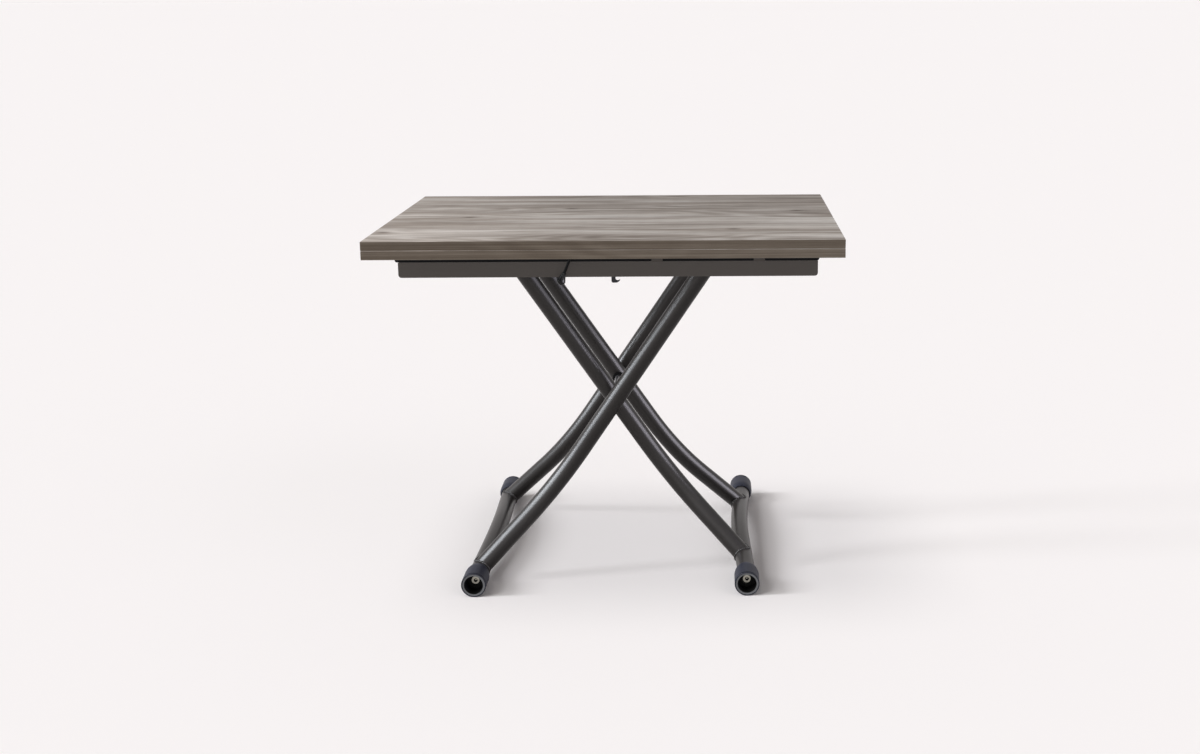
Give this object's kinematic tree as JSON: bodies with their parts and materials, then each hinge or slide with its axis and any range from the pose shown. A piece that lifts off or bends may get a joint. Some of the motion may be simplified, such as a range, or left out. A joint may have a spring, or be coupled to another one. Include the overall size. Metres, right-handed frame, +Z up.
{
  "type": "height-adjustable folding-top table",
  "caption": "Scissor-leg table that lowers from dining to coffee height, with a wood-grain double top that turns on its rail frame and opens like a book.",
  "frame": {"origin": "on the floor under the middle of the closed top", "axes": "+X along the top's long side, +Y to the rear (the hinge side of the top), +Z up"},
  "size_m": [1, 0.7, 0.789],
  "materials": {
    "wood_top": "grey-brown wood-grain laminate, matt",
    "leg_paint": "satin anthracite powder coat",
    "rail_paint": "satin anthracite powder coat",
    "black_steel": "black paint",
    "cap_plastic": "dark grey moulded plastic",
    "bright_steel": "zinc plated",
    "polished_steel": "ground and chromed",
    "nylon": "natural nylon",
    "plug_plastic": "black moulded plastic",
    "knob_plastic": "black, glossy",
    "clip_plastic": "brown-grey moulded plastic",
    "felt": "pressed felt"
  },
  "bodies": {
    "left_feet": {"left_foot_cap_front": "cap_plastic", "left_foot_cap_rear": "cap_plastic"},
    "outer_legs": {"outer_leg_front": "leg_paint", "outer_leg_rear": "leg_paint", "left_foot_bar": "leg_paint", "outer_leg_plugs": "plug_plastic", "left_bar_plugs": "plug_plastic", "left_axle_screws": "bright_steel", "outer_top_shaft": "bright_steel", "pivot_axle": "bright_steel", "pivot_collars": "black_steel"},
    "inner_legs": {"inner_leg_front": "leg_paint", "inner_leg_rear": "leg_paint", "right_foot_bar": "leg_paint", "inner_leg_plugs": "plug_plastic", "right_bar_plugs": "plug_plastic", "right_axle_screws": "bright_steel", "inner_top_shaft": "bright_steel", "pivot_bushes": "plug_plastic"},
    "right_foot_front": {"right_foot_cap_front": "cap_plastic"},
    "right_foot_rear": {"right_foot_cap_rear": "cap_plastic"},
    "right_carriage": {"right_slide_shoes": "nylon", "rod_clevis": "bright_steel", "gas_rod": "polished_steel"},
    "left_carriage": {"left_slide_shoes": "nylon"},
    "top_frame": {"front_rail": "rail_paint", "rear_rail": "rail_paint", "left_end_rail": "rail_paint", "right_end_rail": "rail_paint", "front_bearer": "black_steel", "rear_bearer": "black_steel", "left_cross_member": "black_steel", "centre_cross_member": "black_steel", "right_cross_member": "black_steel", "bearer_clips": "clip_plastic", "glide_pads": "felt", "swivel_plate": "bright_steel", "swivel_bolt": "bright_steel", "gas_cylinder": "black_steel", "release_head": "bright_steel", "head_bracket": "black_steel", "lever_bracket": "black_steel", "catch_hook": "bright_steel"},
    "lever": {"release_lever": "black_steel", "lever_knob": "knob_plastic", "release_finger": "bright_steel"},
    "release_pin": {"release_pin": "bright_steel"},
    "lower_leaf": {"lower_leaf": "wood_top", "swivel_bush": "nylon", "lower_hinge_plates": "bright_steel", "lower_hinge_screws": "bright_steel", "hinge_pins": "bright_steel", "seam_pads": "felt"},
    "upper_leaf": {"upper_leaf": "wood_top", "upper_hinge_plates": "bright_steel", "upper_hinge_screws": "bright_steel"}
  },
  "joints": [
    {"name": "lift", "type": "hinge", "parent": "left_feet", "child": "outer_legs", "pos_m": [-0.29786, 0, 0.027], "axis": [0, 1, 0], "range_deg": [0, 38]},
    {"name": "scissor", "type": "hinge", "parent": "outer_legs", "child": "inner_legs", "pos_m": [0, 0, 0.3865], "axis": [0, 1, 0], "range_deg": [-76, 0]},
    {"name": "right_foot_front_roll", "type": "hinge", "parent": "inner_legs", "child": "right_foot_front", "pos_m": [0.2973, -0.3, 0.027], "axis": [0, 1, 0], "continuous": true},
    {"name": "right_foot_rear_roll", "type": "hinge", "parent": "inner_legs", "child": "right_foot_rear", "pos_m": [0.2973, 0.3, 0.027], "axis": [0, 1, 0], "continuous": true},
    {"name": "right_shoes_turn", "type": "hinge", "parent": "outer_legs", "child": "right_carriage", "pos_m": [0.21526, 0, 0.70325], "axis": [0, 1, 0], "range_deg": [-38, 0]},
    {"name": "left_shoes_turn", "type": "hinge", "parent": "inner_legs", "child": "left_carriage", "pos_m": [-0.21526, 0, 0.70325], "axis": [0, 1, 0], "range_deg": [0, 38]},
    {"name": "frame_slide", "type": "slide", "parent": "right_carriage", "child": "top_frame", "axis": [-1, 0, 0], "range_m": [0, 0.15]},
    {"name": "lever_turn", "type": "hinge", "parent": "top_frame", "child": "lever", "pos_m": [-0.0814, 0, 0.7275], "axis": [0, -1, 0], "range_deg": [0, 20], "stiffness_Nm_per_rad": 1.2},
    {"name": "pin_push", "type": "slide", "parent": "top_frame", "child": "release_pin", "axis": [1, 0, 0], "range_m": [0, 0.0086]},
    {"name": "top_swivel", "type": "hinge", "parent": "top_frame", "child": "lower_leaf", "pos_m": [0.173, 0.173, 0.7505], "axis": [0, 0, 1], "range_deg": [0, 90]},
    {"name": "leaf_fold", "type": "hinge", "parent": "lower_leaf", "child": "upper_leaf", "pos_m": [0, 0.346, 0.76975], "axis": [-1, 0, 0], "range_deg": [0, 180]}
  ],
  "couplings": [
    {"joint": "scissor", "follows": "lift", "ratio": -2},
    {"joint": "right_shoes_turn", "follows": "lift", "ratio": -1},
    {"joint": "left_shoes_turn", "follows": "lift", "ratio": 1},
    {"joint": "frame_slide", "follows": "lift", "m_per_rad": 0.22523},
    {"joint": "pin_push", "follows": "lever_turn", "m_per_rad": 0.02425}
  ]
}
